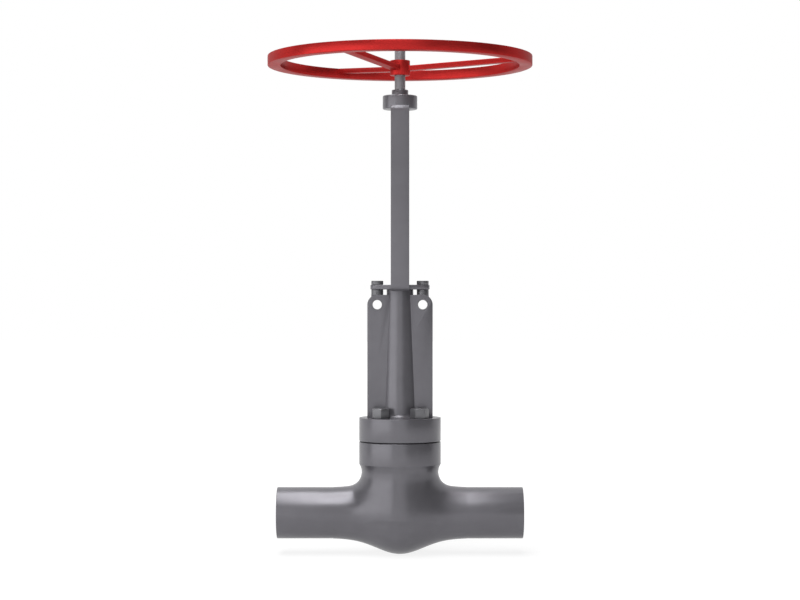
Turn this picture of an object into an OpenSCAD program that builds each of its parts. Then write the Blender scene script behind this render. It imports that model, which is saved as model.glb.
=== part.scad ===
// Socket weld globe valve: straight pattern, extended bonnet, outside screw and yoke.
// X runs along the pipe from inlet to outlet and Z runs up the stem. They cross at the origin.
// The valve is drawn closed: turning the handwheel to the left screws the stem up and lifts the disc.

/* [Pipe ends] */
// Length of the body from socket mouth to socket mouth
end_to_end = 368; // [340:1:400]
// Outer diameter of the two socket hubs
hub_d = 76.6; // [75:0.2:82]
// Diameter of the socket that the pipe slides into
socket_d = 61.2; // [60.6:0.1:62]
// Depth of the socket
socket_depth = 16; // [14:1:22]
// Bore behind the sockets
line_bore_d = 43; // [40:1:46]

/* [Body] */
// Depth of the bowl's lowest point below the pipe axis
bowl_depth = 61.5; // [59:0.5:66]
// Distance along the pipe over which the bowl's swelling fades
bowl_spread = 49; // [46:1:52]
// Distance from the stem at which the swelling ends on the hub
bowl_reach = 99; // [96:1:106]
// Diameter of the body's neck below its flange
neck_d = 114.8; // [113:0.2:117]
// Width of the soft blend between neck and bowl
throat_blend = 20; // [16:1:24]
// Height of the machined steps where the forged skin meets the hubs and the flange
forge_step = 0.25; // [0.2:0.05:0.5]
// Diameter of the body flange and the bonnet flange
flange_d = 122.4; // [122:0.2:128]
// Height of the body flange's underside above the pipe axis
flange_low = 73.5; // [72:0.5:78]
// Thickness of the body flange
body_flange_t = 33.2; // [31:0.2:36]
// Height of the cove under the body flange
flange_cove_h = 11.5; // [9:0.5:13]
// Depth below the pipe axis at which the inlet passage turns up to the port
elbow_depth = 28; // [26:0.5:30]
// Height above the pipe axis at which the outlet passage leaves the chamber
outlet_rise = 36; // [34:0.5:37]
// Distance from the stem at which the slanted passages meet the line bores
passage_reach = 108; // [104:1:112]

/* [Seat and disc] */
// Diameter of the port through the seat ring and of the drilled passages
port_d = 36; // [33:0.5:37]
// Height of the seat ring
seat_ring_h = 13; // [12:0.5:14]
// Outer diameter of the seat ring
seat_ring_d = 46; // [45:0.5:46.5]
// Height of the bore that the seat ring screws into
seat_bore_h = 8; // [6:0.5:10]
// Width of the bevel that the disc closes on
seat_bevel = 3; // [2.5:0.25:3.5]
// Gap left between the closed disc and the bevel, along the stem
seat_gap = 0.45; // [0.4:0.05:0.6]
// Diameter of the chamber above the seat and of the body's top opening
chamber_d = 48; // [47:0.5:50]
// Diameter of the disc
disc_d = 45.2; // [44:0.2:45.8]
// Height of the disc's top above the pipe axis, closed
disc_top = 38; // [36:0.5:41]
// Diameter of the disc's pocket, which the disc nut screws into
disc_pocket_d = 27; // [26:0.5:29]
// Depth of the disc's pocket
disc_pocket_depth = 19.5; // [18:0.5:20]
// Travel of the disc from closed to open
lift = 16; // [12:1:18]

/* [Stem] */
// Diameter of the stem
stem_d = 16; // [15:0.2:16.4]
// Thickness of the head that the disc hangs on
stem_head_t = 7; // [6:0.5:8]
// Diameter of the stem's head and of its backseat collar
stem_head_d = 23; // [21:0.5:24]
// Height of the backseat collar's cylinder
collar_t = 6; // [5:0.5:8]
// Length of the stem above the handwheel's hub
stem_end = 22; // [16:1:26]

/* [Bonnet] */
// Gap between the two flanges
gasket_gap = 1.65; // [1.4:0.05:2]
// Depth of the gasket's recess in the body flange
gasket_recess = 2; // [1.5:0.1:2.5]
// Radial width of the gasket
gasket_w = 5.5; // [4.5:0.25:5.75]
// Thickness of the bonnet flange
bonnet_flange_t = 34.65; // [32:0.05:38]
// Height of the neck and stuffing box above the bonnet flange
neck_h = 191.6; // [170:0.2:220]
// Diameter of the neck above its base fillet
neck_base_d = 52; // [50:0.5:53]
// Radius of the fillet at the neck's base
neck_fillet = 7; // [5:0.5:9]
// Outer diameter of the stuffing box
box_d = 40; // [39.6:0.1:41]
// Height of the straight part at the top of the neck
box_straight_h = 15.6; // [12:0.2:20]
// Height of the short cone below the straight part
box_cone_h = 4; // [2:0.2:6]
// Diameter of the neck below the short cone
neck_top_d = 41.2; // [41:0.1:42.4]
// Depth of the nose below the bonnet flange
nose_depth = 43; // [42:0.5:46]
// Bore of the stem's way through the bonnet
stem_way_d = 18; // [17.6:0.1:19]
// Diameter of the backseat bushing's thread in the bonnet's nose
backseat_d = 28; // [27:0.5:29]
// Diameter of the backseat bushing's lip
backseat_lip_d = 34; // [33:0.5:36]
// Thickness of the backseat bushing's lip
backseat_lip_t = 3; // [2.5:0.25:4]
// Length of the backseat bushing
backseat_l = 18; // [16:0.5:20]

/* [Bonnet bolts] */
// Diameter of the circle that the four bonnet bolts stand on
bolt_circle_d = 81.8; // [81:0.1:84]
// Diameter of a bonnet bolt
bolt_d = 16; // [14:0.5:16]
// Width of a bolt head across its flats
bolt_flats = 24; // [22:0.5:24.5]
// Height of a bolt head
bolt_head_h = 15.2; // [12:0.2:16]
// Angle between a corner of each bolt head and the line from the stem
bolt_turn = 48.7; // [0:0.1:60]
// Length of thread in the body flange
bolt_grip = 24; // [20:0.5:26]

/* [Packing and gland] */
// Depth of the stuffing box
box_depth = 42.6; // [40:0.2:50]
// Radial width of the packing
packing_w = 5.5; // [4.5:0.1:5.8]
// Height of one packing ring
packing_h = 5.5; // [4.5:0.1:5.6]
// Thickness of the washer below the packing
washer_t = 2.5; // [2:0.1:3.5]
// Clearance between the stuffing box and the gland flange
gland_gap = 0.1; // [0.1:0.1:2]
// Thickness of the gland flange
gland_t = 7.1; // [6:0.1:10]
// Radius of the gland flange's middle
gland_mid_r = 15.7; // [15:0.1:16.5]
// Distance from the stem to each gland bolt
gland_bolt_x = 34.1; // [33.5:0.1:36]
// Radius of the gland flange's ends
gland_end_r = 10.3; // [9.8:0.1:11]
// Diameter of the shouldered part of a gland eyebolt, and of its round nut
eyebolt_d = 18; // [17:0.2:18.4]
// Diameter of an eyebolt's thread
eyebolt_thread_d = 10; // [8:0.5:11]
// Height of the round gland nuts
gland_nut_h = 6; // [5:0.2:9]

/* [Ribs] */
// Thickness of the two ribs
rib_t = 27.6; // [26:0.2:28]
// Radius of the lug at each rib's top, round the hinge pin
lug_r = 14.75; // [14.2:0.05:15.5]
// Height of the hinge pins below the stuffing box's top
pin_drop = 22.6; // [22:0.2:25]
// Outer diameter of the tubular hinge pins
pin_d = 17.1; // [16.4:0.1:17.6]
// Bore of the tubular hinge pins
pin_bore_d = 14; // [12:0.2:14.4]
// Thickness of an eyebolt's eye
eye_t = 12; // [10:0.5:14]
// Radius of an eyebolt's eye
eye_r = 12.4; // [11.6:0.1:12.6]

/* [Yoke] */
// Height of the window between the stuffing box and the yoke head
window_h = 270.1; // [240:0.1:300]
// Width of the yoke arms
arm_w = 27.5; // [26:0.5:29]
// Distance from the stem to an arm's outer face
arm_out = 28.5; // [28:0.1:31]
// Distance from the stem to an arm's inner face
arm_in = 18; // [17.4:0.1:18.6]
// Distance from the stem to the inner face of an arm's tongue
tongue_in = 16.5; // [16.2:0.1:17]
// Length of the tongue that is let into the stuffing box
tongue_l = 34.6; // [28:0.2:40]
// Width of an arm's tongue
tongue_w = 25; // [22:0.2:26]
// Diameter of the yoke head
head_d = 51.8; // [50:0.2:54]
// Thickness of the yoke head
head_t = 20.4; // [18:0.2:26]
// Height that the arms' tops reach up the head's side
arm_lap = 4.2; // [2:0.1:6]
// Height of the rounding at an arm's top
arm_round_h = 8.4; // [6:0.2:10]
// Diameter of the yoke bushing's body
bushing_d = 22; // [20:0.5:23]
// Diameter of the yoke bushing's collar
bushing_collar_d = 24.8; // [24:0.2:30]
// Height of the yoke bushing's collar
bushing_collar_h = 8.7; // [6:0.1:10]
// Length of the yoke bushing below the head
bushing_tail = 4; // [2:0.5:8]
// Diameter of the screw that locks the bushing
lock_screw_d = 5; // [4:0.5:6]

/* [Handwheel] */
// Outer diameter of the handwheel
wheel_d = 396.6; // [360:0.2:420]
// Radial width of the rim
rim_w = 19.3; // [16:0.1:24]
// Height of the rim
rim_h = 14.7; // [12:0.1:18]
// Height of the rim's underside above the hub's underside
rim_raise = 13.8; // [8:0.1:20]
// Distance from the bushing's collar to the hub, closed
hub_clear = 21.8; // [20:0.1:26]
// Diameter of the hub
wheel_hub_d = 30; // [28:0.5:36]
// Height of the hub
wheel_hub_h = 22.4; // [20:0.2:28]
// Width of a spoke
spoke_w = 15.8; // [12:0.1:18]
// Thickness of a spoke
spoke_t = 7.4; // [6:0.1:9]
// Rise of a spoke from hub to rim
spoke_rise = 14; // [11:0.1:15]
// Width and height of the key between stem and hub
key_w = 5; // [4:0.5:6]
// Length of the key
key_l = 18; // [14:0.5:20]
// Diameter of the set screw in the hub
set_screw_d = 5; // [4:0.5:6]
// Depth of the set screw below the hub's top
set_screw_drop = 5; // [4:0.5:8]

/* [Hidden] */
$fn = 96;

// Colours
forged = [0.42, 0.42, 0.44];
machined = [0.62, 0.62, 0.64];
bronze = [0.72, 0.55, 0.30];
graphite = [0.16, 0.16, 0.17];
wheel_red = [0.76, 0.22, 0.22];

// Clearances
running_fit = 0.05;
thread_fit = 0.05;
weld_gap = 0.05;
loose_fit = 0.3;
face_gap = 0.3;
follower_fit = 0.2;
elbow_clear = 0.4;
hole_clear = 0.4;
bolt_clear = 0.75;
spotface_clear = 0.7;
fork_clear = 0.6;
over = 1;

// Radii
hub_r = hub_d / 2;
neck_r = neck_d / 2;
flange_r = flange_d / 2;
port_r = port_d / 2;
seat_ring_r = seat_ring_d / 2;
chamber_r = chamber_d / 2;
disc_r = disc_d / 2;
stem_r = stem_d / 2;
stem_head_r = stem_head_d / 2;
box_r = box_d / 2;
packing_in_r = stem_r + running_fit;
box_bore_r = packing_in_r + packing_w;
bolt_circle_r = bolt_circle_d / 2;
bolt_r = bolt_d / 2;
eyebolt_r = eyebolt_d / 2;
thread_r = eyebolt_thread_d / 2;
head_r = head_d / 2;
rim_r = wheel_d / 2;
rim_in_r = rim_r - rim_w;
wheel_hub_r = wheel_hub_d / 2;

// Counts
packing_count = 5;
spoke_count = 3;

// Heights above the pipe axis
flange_top = flange_low + body_flange_t;
bonnet_low = flange_top + gasket_gap;
bonnet_top = bonnet_low + bonnet_flange_t;
box_top = bonnet_top + neck_h;
box_floor = box_top - box_depth;
packing_low = box_floor + washer_t;
packing_top = packing_low + packing_count * packing_h;
gland_low = box_top + gland_gap;
gland_top = gland_low + gland_t;
pin_z = box_top - pin_drop;
rib_top = pin_z + lug_r;
head_low = box_top + window_h;
head_top = head_low + head_t;
collar_top = head_top + bushing_collar_h;
hub_low = collar_top + hub_clear;
hub_top = hub_low + wheel_hub_h;
rim_low = hub_low + rim_raise;
rim_top = rim_low + rim_h;
stem_top = hub_top + stem_end;

// The port, the seat and the passages
seat_top = seat_ring_h;
elbow_r = port_r + elbow_clear;
passage_lap = 10;

// The disc's joint with the stem
disc_floor = disc_top - disc_pocket_depth;
stem_foot = disc_floor + face_gap;
disc_nut_low = stem_foot + stem_head_t + face_gap;
disc_pocket_r = disc_pocket_d / 2;
plug_h = 3;
plug_inset = 2;
trim_chamfer = 1;

// The backseat
collar_rise = 3;
stem_collar_low = disc_top + collar_rise;
stem_collar_top = stem_collar_low + collar_t;
backseat_bevel = stem_head_r - stem_r;
backseat_z = stem_collar_top + lift + seat_gap - loose_fit;
backseat_r = backseat_d / 2;
nose_z = max(bonnet_low - nose_depth, backseat_z + backseat_lip_t);

// The gasket and the bolts
gasket_inset = 1;
gasket_in_r = chamber_r + gasket_inset;
bolt_corner_r = bolt_flats / 2 / cos(30);
spotface_r = bolt_corner_r + spotface_clear;
crown_inset = 0.6;
crown_drop = 2.6;
bolt_tap_over = 3;

// The gland
follower_lap = 2;
follower_top = gland_low + follower_lap;
gland_tangent = acos((gland_mid_r - gland_end_r) / gland_bolt_x);
gland_nut_top = gland_top + gland_nut_h;

// The fork in each rib
fork_gap = 0.3;
fork_r = eye_r + fork_clear;

// The yoke
toe_drop = 1.8;
toe_r = arm_out - box_r;
toe_z = box_top - toe_drop;
arm_top = head_low + arm_lap;
arm_round_in = arm_out - head_r;
arm_round_r = (pow(arm_round_h, 2) + pow(arm_round_in, 2)) / (2 * arm_round_in);
edge_bevel = 1.2;

// The handwheel
spoke_slope = atan(spoke_rise / (rim_in_r - wheel_hub_r));
spoke_drop = spoke_t / 2 / cos(spoke_slope);
key_angle = 60;
key_seat = 3;
set_screw_r = set_screw_d / 2;
set_screw_z = hub_top - set_screw_drop;
rim_bevel = 0.8;

// Skin of the forged body
skin_rings = 52;
skin_sides = 60;
skin_steps = 15;
skin_cap_rise = 11;
skin_cap = flange_low + skin_cap_rise;
hub_lap = 5;
cove_root = 4;
skin_far = 2 * bowl_reach;
bowl_rise = (bowl_depth - hub_r - forge_step) / (1 - exp(-pow(bowl_reach / bowl_spread, 2)));

// Radius of the swelling round the pipe axis at a distance x from the stem
function swelling(x) = hub_r + forge_step
    + bowl_rise * (exp(-pow(x / bowl_spread, 2)) - exp(-pow(bowl_reach / bowl_spread, 2)));

// Smaller of two distances, blended where they are alike
function soft_min(a, b, k) = min(a, b) - pow(max(k - abs(a - b), 0), 2) / (4 * k);

// Distance of a point outside the body's skin, negative inside
function outside(p) = soft_min(
    norm([p.y, p.z]) - swelling(p.x),
    max(norm([p.x, p.y]) - neck_r, -p.z),
    throat_blend);

// Distance from the origin to the skin in direction d, halving the range each step
function reach(d, near, far, steps) = steps == 0 ? (near + far) / 2
    : let (mid = (near + far) / 2) outside(mid * d) < 0
        ? reach(d, mid, far, steps - 1)
        : reach(d, near, mid, steps - 1);

// Point of the skin at an angle from the pipe axis and a turn round it, capped inside the flange
function skin_point(angle, turn) =
    let (d = [cos(angle), sin(angle) * sin(turn), sin(angle) * cos(turn)],
         far = reach(d, hub_r / 2, skin_far, skin_steps))
    d * (d.z > 0 ? min(far, skin_cap / d.z) : far);

// Arc of points in a profile, from one angle to another
function arc(x, y, r, from, to, n) = [
    for (i = [0 : n]) let (a = from + (to - from) * i / n) [x + r * cos(a), y + r * sin(a)]
];

module tube(r_out, r_in, low, high) {
    difference() {
        translate([0, 0, low]) cylinder(r = r_out, h = high - low);
        translate([0, 0, low - over]) cylinder(r = r_in, h = high - low + 2 * over);
    }
}

module post(r, low, high) {
    translate([0, 0, low]) cylinder(r = r, h = high - low);
}

// Drilled passage from height z on the stem's axis to the line bore, and a little past its start
module passage(side, z) {
    past = 1 + passage_lap / passage_reach;
    run = [side * passage_reach, -z] * past;
    translate([0, 0, z]) rotate([0, atan2(run.x, run.y), 0]) cylinder(r = port_r, h = norm(run));
}

module at_bolts() {
    for (i = [0 : 3]) rotate([0, 0, 45 + 90 * i]) translate([bolt_circle_r, 0, 0]) children();
}

module at_gland_bolts() {
    for (side = [-1, 1]) translate([side * gland_bolt_x, 0, 0]) children();
}

module along_y(r, length) {
    rotate([90, 0, 0]) cylinder(r = r, h = length, center = true);
}

module body_skin() {
    first = atan(swelling(bowl_reach) / bowl_reach);
    points = [
        for (i = [0 : skin_rings], j = [0 : skin_sides - 1])
            skin_point(first + (180 - 2 * first) * i / skin_rings, 360 * j / skin_sides)
    ];
    function at(i, j) = i * skin_sides + j % skin_sides;
    walls = [
        for (i = [0 : skin_rings - 1], j = [0 : skin_sides - 1], half = [0, 1])
            half == 0 ? [at(i, j), at(i + 1, j + 1), at(i, j + 1)]
                : [at(i, j), at(i + 1, j), at(i + 1, j + 1)]
    ];
    right_end = [for (j = [0 : skin_sides - 1]) at(0, j)];
    left_end = [for (j = [skin_sides - 1 : -1 : 0]) at(skin_rings, j)];
    polyhedron(points, concat(walls, [right_end], [left_end]));
}

// Cove that leaves the neck along its wall and meets the flange's underside at an angle
module flange_cove() {
    low = flange_low - flange_cove_h;
    drop = flange_r - neck_r - forge_step;
    cove_r = (pow(flange_cove_h, 2) + pow(drop, 2)) / (2 * drop);
    rotate_extrude() polygon(concat(
        [[neck_r - cove_root, flange_low + over], [neck_r - cove_root, low]],
        arc(flange_r - drop + cove_r, low, cove_r, 180, 180 - asin(flange_cove_h / cove_r), 6),
        [[flange_r, flange_low + over]]));
}

module body() {
    color(forged) difference() {
        union() {
            body_skin();
            flange_cove();
            post(flange_r, flange_low, flange_top);
            for (side = [-1, 1])
                rotate([0, side * 90, 0]) post(hub_r, bowl_reach - hub_lap, end_to_end / 2);
        }
        for (side = [-1, 1]) rotate([0, side * 90, 0]) {
            post(socket_d / 2, end_to_end / 2 - socket_depth, end_to_end / 2 + over);
            post(line_bore_d / 2, passage_reach, end_to_end / 2);
        }
        passage(-1, -elbow_depth);
        passage(1, outlet_rise);
        translate([0, 0, -elbow_depth]) sphere(r = elbow_r);
        post(port_r, -elbow_depth, over);
        post(seat_ring_r, 0, seat_bore_h + over);
        post(chamber_r, seat_bore_h, flange_top + over);
        post(gasket_in_r + gasket_w + weld_gap, flange_top - gasket_recess, flange_top + over);
        at_bolts() post(bolt_r, flange_top - bolt_grip - bolt_tap_over, flange_top + over);
    }
}

module seat_ring() {
    color(machined) rotate_extrude() polygon([
        [port_r, 0],
        [seat_ring_r - thread_fit, 0],
        [seat_ring_r - thread_fit, seat_top],
        [port_r + seat_bevel, seat_top],
        [port_r, seat_top - seat_bevel]
    ]);
}

module disc() {
    plug_low = seat_top - seat_bevel - plug_h;
    cone_low = seat_top - seat_bevel + seat_gap;
    color(machined) rotate_extrude() polygon([
        [0, plug_low],
        [port_r - plug_inset, plug_low],
        [port_r - plug_inset, cone_low - plug_inset],
        [disc_r, cone_low + disc_r - port_r],
        [disc_r, disc_top - trim_chamfer],
        [disc_r - trim_chamfer, disc_top],
        [disc_pocket_r, disc_top],
        [disc_pocket_r, disc_floor],
        [0, disc_floor]
    ]);
}

module disc_nut() {
    color(machined) tube(disc_pocket_r - thread_fit, stem_r + running_fit, disc_nut_low, disc_top);
}

module stem() {
    color(machined) difference() {
        rotate_extrude() polygon([
            [0, stem_foot],
            [stem_head_r, stem_foot],
            [stem_head_r, stem_foot + stem_head_t],
            [stem_r, stem_foot + stem_head_t],
            [stem_r, stem_collar_low],
            [stem_head_r, stem_collar_low],
            [stem_head_r, stem_collar_top],
            [stem_r, stem_collar_top + backseat_bevel],
            [stem_r, stem_top - trim_chamfer],
            [stem_r - trim_chamfer, stem_top],
            [0, stem_top]
        ]);
        key_block(0, key_l);
    }
}

module backseat_bushing() {
    bevel_r = stem_head_r + loose_fit;
    bore_r = stem_r + loose_fit;
    lip_r = backseat_lip_d / 2;
    color(bronze) rotate_extrude() polygon([
        [bevel_r, backseat_z],
        [lip_r, backseat_z],
        [lip_r, backseat_z + backseat_lip_t],
        [backseat_r - thread_fit, backseat_z + backseat_lip_t],
        [backseat_r - thread_fit, backseat_z + backseat_l],
        [bore_r, backseat_z + backseat_l],
        [bore_r, backseat_z + bevel_r - bore_r]
    ]);
}

// Outer form of the bonnet's neck and stuffing box, grown by a clearance
module neck_form(grow = 0) {
    base_r = neck_base_d / 2 + grow;
    rotate_extrude() polygon(concat(
        [[0, bonnet_top - over], [base_r + neck_fillet, bonnet_top - over]],
        arc(base_r + neck_fillet, bonnet_top + neck_fillet, neck_fillet, 270, 180, 8),
        [
            [neck_top_d / 2 + grow, box_top - box_straight_h - box_cone_h],
            [box_r + grow, box_top - box_straight_h],
            [box_r + grow, box_top],
            [0, box_top]
        ]));
}

// Slot in the stuffing box's wall that takes the tongue of the arm on the +Y side
module tongue_space(gap) {
    translate([-tongue_w / 2 - gap, tongue_in - gap, box_top - tongue_l - gap])
        cube([tongue_w + 2 * gap, box_r, tongue_l + gap + over]);
}

module bonnet() {
    color(forged) difference() {
        union() {
            post(flange_r, bonnet_low, bonnet_top);
            post(chamber_r - loose_fit, nose_z, bonnet_low + over);
            neck_form();
        }
        post(stem_way_d / 2, nose_z - over, box_top);
        post(backseat_r, nose_z - over, backseat_z + backseat_l);
        post(box_bore_r, box_floor, box_top + over);
        at_bolts() post(bolt_r + bolt_clear, bonnet_low - over, bonnet_top + over);
        at_bolts() post(spotface_r, bonnet_top, bonnet_top + neck_fillet + over);
        tongue_space(weld_gap);
        mirror([0, 1, 0]) tongue_space(weld_gap);
    }
}

module rib() {
    fork_low = pin_z - fork_r;
    fork_w = eye_t + 2 * fork_gap;
    difference() {
        rotate([90, 0, 0]) linear_extrude(rib_t, center = true) {
            translate([0, bonnet_top]) square([gland_bolt_x + lug_r, pin_z - bonnet_top]);
            translate([0, bonnet_top]) square([gland_bolt_x, rib_top - bonnet_top]);
            translate([gland_bolt_x, pin_z]) circle(r = lug_r);
        }
        neck_form(weld_gap);
        translate([gland_bolt_x, 0, pin_z]) along_y(pin_d / 2 + weld_gap, rib_t + 2 * over);
        translate([gland_bolt_x, 0, pin_z]) along_y(fork_r, fork_w);
        translate([gland_bolt_x - fork_r, -fork_w / 2, pin_z])
            cube([2 * lug_r + fork_r, fork_w, lug_r + over]);
        translate([gland_bolt_x, -fork_w / 2, fork_low]) cube([2 * lug_r, fork_w, fork_r + over]);
    }
}

module left_rib() {
    color(forged) mirror([1, 0, 0]) rib();
}

module right_rib() {
    color(forged) rib();
}

module bonnet_gasket() {
    color(graphite) tube(gasket_in_r + gasket_w, gasket_in_r, flange_top - gasket_recess, bonnet_low);
}

module bonnet_bolt() {
    top = bonnet_top + bolt_head_h;
    post(bolt_r - thread_fit, flange_top - bolt_grip, bonnet_top + over);
    intersection() {
        translate([0, 0, bonnet_top]) rotate([0, 0, bolt_turn])
            cylinder(r = bolt_corner_r, h = bolt_head_h, $fn = 6);
        rotate_extrude() polygon([
            [0, bonnet_top],
            [bolt_corner_r + over, bonnet_top],
            [bolt_corner_r + over, top - crown_drop],
            [bolt_flats / 2 - crown_inset, top],
            [0, top]
        ]);
    }
}

module bonnet_bolts() {
    color(machined) at_bolts() bonnet_bolt();
}

module packing_washer() {
    color(machined) tube(box_bore_r - weld_gap, stem_r + loose_fit, box_floor, packing_low);
}

module packing_ring(i) {
    low = packing_low + i * packing_h;
    color(graphite) tube(box_bore_r - weld_gap, packing_in_r, low, low + packing_h);
}

module gland_follower() {
    color(bronze) tube(box_bore_r - follower_fit, stem_r + loose_fit, packing_top, follower_top);
}

module gland_outline() {
    tip = [cos(gland_tangent), sin(gland_tangent)];
    circle(r = gland_mid_r);
    for (side = [-1, 1]) translate([side * gland_bolt_x, 0]) circle(r = gland_end_r);
    polygon([
        for (side = [[1, 1], [-1, 1], [-1, -1], [1, -1]], end = side.x * side.y > 0 ? [1, 0] : [0, 1])
            let (spot = end * [gland_bolt_x, 0] + (end == 1 ? gland_end_r : gland_mid_r) * tip)
            [side.x * spot.x, side.y * spot.y]
    ]);
}

module gland_flange() {
    color(forged) difference() {
        translate([0, 0, gland_low]) linear_extrude(gland_t) gland_outline();
        post(stem_r + 2 * loose_fit, gland_low - over, gland_top + over);
        post(box_bore_r, gland_low - over, follower_top);
        at_gland_bolts() post(thread_r + hole_clear, gland_low - over, gland_top + over);
    }
}

module gland_eyebolts() {
    shoulder_low = rib_top + face_gap;
    color(machined) at_gland_bolts() difference() {
        union() {
            translate([0, 0, pin_z]) along_y(eye_r, eye_t);
            translate([-eyebolt_r, -eye_t / 2, pin_z]) cube([eyebolt_d, eye_t, shoulder_low - pin_z]);
            post(eyebolt_r, shoulder_low, gland_low);
            post(thread_r, shoulder_low, gland_nut_top - face_gap);
        }
        translate([0, 0, pin_z]) along_y(pin_d / 2 + running_fit, eye_t + 2 * over);
    }
}

module gland_nuts() {
    color(machined) at_gland_bolts() tube(eyebolt_r, thread_r + thread_fit, gland_top, gland_nut_top);
}

module eyebolt_pins() {
    color(machined) at_gland_bolts() translate([0, 0, pin_z]) difference() {
        along_y(pin_d / 2, rib_t);
        along_y(pin_bore_d / 2, rib_t + 2 * over);
    }
}

// Profile of an arm across the valve, from the toe on the stuffing box to the lap on the head
module arm_profile() {
    bend = asin(arm_round_h / arm_round_r);
    polygon(concat(
        [[arm_in, box_top], [tongue_in, box_top], [tongue_in, toe_z]],
        arc(box_r, toe_z + toe_r, toe_r, 270, 360, 8),
        arc(arm_out - arm_round_r, arm_top - arm_round_h, arm_round_r, 0, bend, 6),
        [[arm_in, arm_top]]));
}

module yoke_arm() {
    difference() {
        rotate([90, 0, 90]) linear_extrude(arm_w, center = true) arm_profile();
        post(head_r + weld_gap, head_low - weld_gap, head_top);
    }
    intersection() {
        neck_form();
        tongue_space(0);
    }
}

module front_yoke_arm() {
    color(forged) mirror([0, 1, 0]) yoke_arm();
}

module rear_yoke_arm() {
    color(forged) yoke_arm();
}

module yoke_head() {
    color(forged) difference() {
        rotate_extrude() polygon([
            [bushing_d / 2 + thread_fit, head_low],
            [head_r - edge_bevel, head_low],
            [head_r, head_low + edge_bevel],
            [head_r, head_top - edge_bevel],
            [head_r - edge_bevel, head_top],
            [bushing_d / 2 + thread_fit, head_top]
        ]);
        lock_screw_way(lock_screw_d / 2, bushing_d / 2 - over, head_r + over);
    }
}

module lock_screw_way(r, from, to) {
    translate([0, 0, head_low + head_t / 2]) rotate([0, 90, 0]) post(r, from, to);
}

module yoke_bushing() {
    color(bronze) rotate_extrude() polygon([
        [stem_r + running_fit, head_low - bushing_tail],
        [bushing_d / 2, head_low - bushing_tail],
        [bushing_d / 2, head_top],
        [bushing_collar_d / 2, head_top],
        [bushing_collar_d / 2, collar_top - edge_bevel],
        [bushing_collar_d / 2 - edge_bevel, collar_top],
        [stem_r + running_fit, collar_top]
    ]);
}

module bushing_lock_screw() {
    color(machined) lock_screw_way(
        lock_screw_d / 2 - thread_fit, bushing_d / 2 + thread_fit, head_r - 2 * edge_bevel);
}

// Block along the key's way, from the key's seat in the stem outwards
module key_block(gap, length) {
    rotate([0, 0, key_angle]) translate([stem_r - key_seat, -key_w / 2 - gap, hub_top - length])
        cube([key_w + gap, key_w + 2 * gap, length + (gap > 0 ? over : 0)]);
}

module set_screw_way(r, from, to) {
    translate([0, 0, set_screw_z]) rotate([0, 0, key_angle]) rotate([0, 90, 0]) post(r, from, to);
}

module handwheel_hub() {
    color(wheel_red) difference() {
        tube(wheel_hub_r, stem_r + running_fit, hub_low, hub_top);
        key_block(thread_fit, key_l);
        set_screw_way(set_screw_r, stem_r - key_seat + key_w, wheel_hub_r + over);
    }
}

module handwheel_rim() {
    color(wheel_red) rotate_extrude($fn = 180) polygon([
        [rim_in_r + rim_bevel, rim_low],
        [rim_r - rim_bevel, rim_low],
        [rim_r, rim_low + rim_bevel],
        [rim_r, rim_top - rim_bevel],
        [rim_r - rim_bevel, rim_top],
        [rim_in_r + rim_bevel, rim_top],
        [rim_in_r, rim_top - rim_bevel],
        [rim_in_r, rim_low + rim_bevel]
    ]);
}

// The spokes climb from the hub, and their tops end level with the rim's top
module handwheel_spoke(i) {
    color(wheel_red) rotate([0, 0, i * 360 / spoke_count]) difference() {
        intersection() {
            translate([rim_in_r, 0, rim_top - spoke_drop]) rotate([0, -spoke_slope, 0])
                translate([-rim_in_r, -spoke_w / 2, -spoke_t / 2]) cube([2 * rim_in_r, spoke_w, spoke_t]);
            post(rim_in_r - weld_gap, hub_low, rim_top + over);
        }
        post(wheel_hub_r + weld_gap, hub_low - over, hub_top + over);
    }
}

module handwheel_key() {
    color(machined) key_block(0, key_l);
}

module handwheel_set_screw() {
    color(machined) set_screw_way(
        set_screw_r - thread_fit, stem_r - key_seat + key_w + thread_fit, wheel_hub_r - thread_fit);
}

body();
seat_ring();
disc();
disc_nut();
stem();
bonnet();
left_rib();
right_rib();
backseat_bushing();
bonnet_gasket();
bonnet_bolts();
packing_washer();
packing_ring(0);  // packing_ring_1
packing_ring(1);  // packing_ring_2
packing_ring(2);  // packing_ring_3
packing_ring(3);  // packing_ring_4
packing_ring(4);  // packing_ring_5
gland_follower();
gland_flange();
gland_eyebolts();
gland_nuts();
eyebolt_pins();
front_yoke_arm();
rear_yoke_arm();
yoke_head();
yoke_bushing();
bushing_lock_screw();
handwheel_hub();
handwheel_rim();
handwheel_spoke(0);  // handwheel_spoke_1
handwheel_spoke(1);  // handwheel_spoke_2
handwheel_spoke(2);  // handwheel_spoke_3
handwheel_key();
handwheel_set_screw();
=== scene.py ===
"""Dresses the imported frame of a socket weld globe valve. Sizes are in millimetres unless a name says otherwise."""

import math

import bpy
import numpy as np
from bpy.props import FloatProperty, FloatVectorProperty, IntProperty, PointerProperty
from mathutils import Matrix, Vector


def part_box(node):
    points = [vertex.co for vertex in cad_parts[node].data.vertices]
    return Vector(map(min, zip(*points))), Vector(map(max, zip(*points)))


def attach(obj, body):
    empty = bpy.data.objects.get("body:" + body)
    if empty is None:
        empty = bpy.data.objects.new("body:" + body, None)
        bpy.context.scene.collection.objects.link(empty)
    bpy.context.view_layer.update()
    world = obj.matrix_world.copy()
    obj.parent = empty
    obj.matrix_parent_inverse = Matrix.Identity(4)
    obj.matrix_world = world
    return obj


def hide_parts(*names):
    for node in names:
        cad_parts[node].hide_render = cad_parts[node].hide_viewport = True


bl_info = {
    "name": "Socket Weld Globe Valve",
    "version": (1, 0, 0),
    "blender": (4, 5, 0),
    "location": "View3D > Sidebar > Globe Valve",
    "description": "Models and paints a globe valve round its packed frame",
    "category": "Object",
}

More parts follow.
